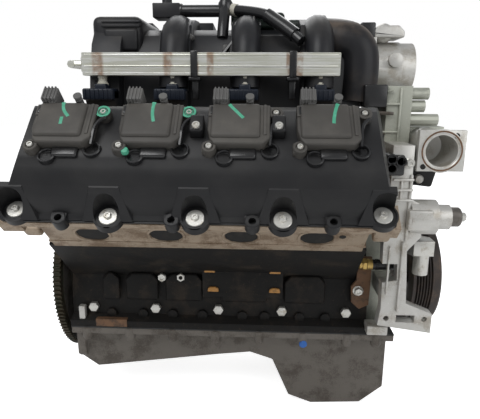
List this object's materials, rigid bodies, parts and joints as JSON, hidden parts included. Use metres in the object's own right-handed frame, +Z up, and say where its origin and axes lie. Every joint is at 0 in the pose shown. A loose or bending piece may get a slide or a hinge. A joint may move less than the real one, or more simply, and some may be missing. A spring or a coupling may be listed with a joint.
{
  "type": "complete v8 engine",
  "caption": "Complete vee engine with turning crankshaft and camshaft, sliding pistons, heads, covers, coils, intake, fuel rails, pan and front drive.",
  "frame": {"origin": "on the crankshaft's axis at its rear flange face, the mouth of the pilot bore", "axes": "+X along the crankshaft towards the accessory end, +Y towards the left bank, +Z up"},
  "size_m": [0.701, 0.7036, 0.734],
  "materials": {
    "block_iron": "cast, black paint worn and dusty",
    "bright_steel": "zinc plated, bright",
    "cast_aluminium": "as cast, grey-green bloom",
    "machined_aluminium": "cast with machined faces",
    "forged_steel": "machined, oiled",
    "gasket_steel": "coated sheet steel",
    "head_aluminium": "as cast, stained tan",
    "cover_plastic": "moulded, matte, dusty",
    "coil_plastic": "moulded, faded dark grey-brown",
    "pan_aluminium": "as cast, grimy",
    "gasket_rubber": "moulded",
    "damper_iron": "turned iron, light rust",
    "ring_steel": "hobbed teeth, brown and green film",
    "pulley_black": "black paint",
    "intake_plastic": "moulded, satin black",
    "brass_plate": "stamped plate",
    "rail_steel": "pale plated steel",
    "injector_plastic": "pale moulded bodies",
    "hose_rubber": "shiny black",
    "filter_paint": "off-white paint",
    "sensor_brass": "dull brass with a black plug",
    "rusty_steel": "surface rust",
    "piston_alloy": "turned"
  },
  "bodies": {
    "engine": {"accessory_bracket": "machined_aluminium", "breather_hose": "hose_rubber", "breather_pipe": "intake_plastic", "coil_packs_left": "coil_plastic", "coil_packs_right": "coil_plastic", "cross_bolts": "bright_steel", "cylinder_head_left": "head_aluminium", "cylinder_head_right": "head_aluminium", "engine_block": "block_iron", "fuel_injectors": "injector_plastic", "fuel_rail": "rail_steel", "head_gaskets": "gasket_steel", "heater_nipple": "machined_aluminium", "intake_manifold": "intake_plastic", "knock_sensor": "sensor_brass", "main_caps": "block_iron", "oil_filter": "filter_paint", "oil_pan": "pan_aluminium", "oil_pickup": "forged_steel", "oil_pump_housing": "cast_aluminium", "pan_gasket": "gasket_rubber", "purge_valve": "intake_plastic", "rear_seal_housing": "cast_aluminium", "rocker_arms": "forged_steel", "rocker_shafts": "forged_steel", "sensor_bracket": "rusty_steel", "spark_plugs": "bright_steel", "thermostat_housing": "machined_aluminium", "throttle_actuator": "machined_aluminium", "throttle_body": "machined_aluminium", "timing_chain": "forged_steel", "timing_cover": "cast_aluminium", "valve_cover_bolts": "bright_steel", "valve_cover_left": "cover_plastic", "valve_cover_right": "cover_plastic", "valve_springs": "forged_steel", "water_pump_housing": "cast_aluminium"},
    "crank": {"crankshaft": "forged_steel", "crank_sprocket": "forged_steel", "oil_pump_rotor": "forged_steel", "damper_hub": "forged_steel", "damper_ring": "damper_iron", "flexplate": "forged_steel", "ring_gear": "ring_steel", "flexplate_bolts": "bright_steel"},
    "cam": {"camshaft": "forged_steel", "cam_sprocket": "forged_steel"},
    "water_pump": {"water_pump_impeller": "forged_steel", "water_pump_pulley": "pulley_black"},
    "idler": {"idler_hub": "forged_steel"},
    "throttle": {"throttle_plate": "brass_plate"},
    "oil_cap": {"oil_filler_cap": "cover_plastic"},
    "piston_left_1": {"piston_left_1": "piston_alloy"},
    "piston_left_2": {"piston_left_2": "piston_alloy"},
    "piston_left_3": {"piston_left_3": "piston_alloy"},
    "piston_left_4": {"piston_left_4": "piston_alloy"},
    "piston_right_1": {"piston_right_1": "piston_alloy"},
    "piston_right_2": {"piston_right_2": "piston_alloy"},
    "piston_right_3": {"piston_right_3": "piston_alloy"},
    "piston_right_4": {"piston_right_4": "piston_alloy"}
  },
  "joints": [
    {"name": "crank_spin", "type": "hinge", "parent": "engine", "child": "crank", "pos_m": [0.3, 0, 0], "axis": [1, 0, 0], "continuous": true},
    {"name": "cam_spin", "type": "hinge", "parent": "engine", "child": "cam", "pos_m": [0.3, 0, 0.135], "axis": [1, 0, 0], "continuous": true},
    {"name": "water_pump_spin", "type": "hinge", "parent": "engine", "child": "water_pump", "pos_m": [0.62, 0, 0.226], "axis": [1, 0, 0], "continuous": true},
    {"name": "idler_spin", "type": "hinge", "parent": "engine", "child": "idler", "pos_m": [0.66, -0.186, 0.158], "axis": [1, 0, 0], "continuous": true},
    {"name": "throttle_turn", "type": "hinge", "parent": "engine", "child": "throttle", "pos_m": [0.584, 0, 0.393], "axis": [0, 1, 0], "range_deg": [0, 85], "stiffness_Nm_per_rad": 0.05, "springref_deg": -5.73},
    {"name": "oil_cap_turn", "type": "hinge", "parent": "engine", "child": "oil_cap", "pos_m": [0.5, 0.2588, 0.3521], "axis": [0, 0.7071, 0.7071], "range_deg": [0, 90]},
    {"name": "piston_left_1_slide", "type": "slide", "parent": "engine", "child": "piston_left_1", "axis": [0, 0.7071, 0.7071], "range_m": [-0.03875, 0.05215]},
    {"name": "piston_left_2_slide", "type": "slide", "parent": "engine", "child": "piston_left_2", "axis": [0, 0.7071, 0.7071], "range_m": [0, 0.0909]},
    {"name": "piston_left_3_slide", "type": "slide", "parent": "engine", "child": "piston_left_3", "axis": [0, 0.7071, 0.7071], "range_m": [-0.0909, 0]},
    {"name": "piston_left_4_slide", "type": "slide", "parent": "engine", "child": "piston_left_4", "axis": [0, 0.7071, 0.7071], "range_m": [-0.03875, 0.05215]},
    {"name": "piston_right_1_slide", "type": "slide", "parent": "engine", "child": "piston_right_1", "axis": [0, -0.7071, 0.7071], "range_m": [-0.0909, 0]},
    {"name": "piston_right_2_slide", "type": "slide", "parent": "engine", "child": "piston_right_2", "axis": [0, -0.7071, 0.7071], "range_m": [-0.03875, 0.05215]},
    {"name": "piston_right_3_slide", "type": "slide", "parent": "engine", "child": "piston_right_3", "axis": [0, -0.7071, 0.7071], "range_m": [-0.03875, 0.05215]},
    {"name": "piston_right_4_slide", "type": "slide", "parent": "engine", "child": "piston_right_4", "axis": [0, -0.7071, 0.7071], "range_m": [0, 0.0909]}
  ],
  "couplings": [
    {"joint": "cam_spin", "follows": "crank_spin", "ratio": 0.5},
    {"joint": "piston_left_3_slide", "follows": "piston_right_1_slide", "ratio": 1},
    {"joint": "piston_left_1_slide", "follows": "piston_right_2_slide", "ratio": 1},
    {"joint": "piston_left_4_slide", "follows": "piston_right_3_slide", "ratio": 1},
    {"joint": "piston_left_2_slide", "follows": "piston_right_4_slide", "ratio": 1}
  ]
}
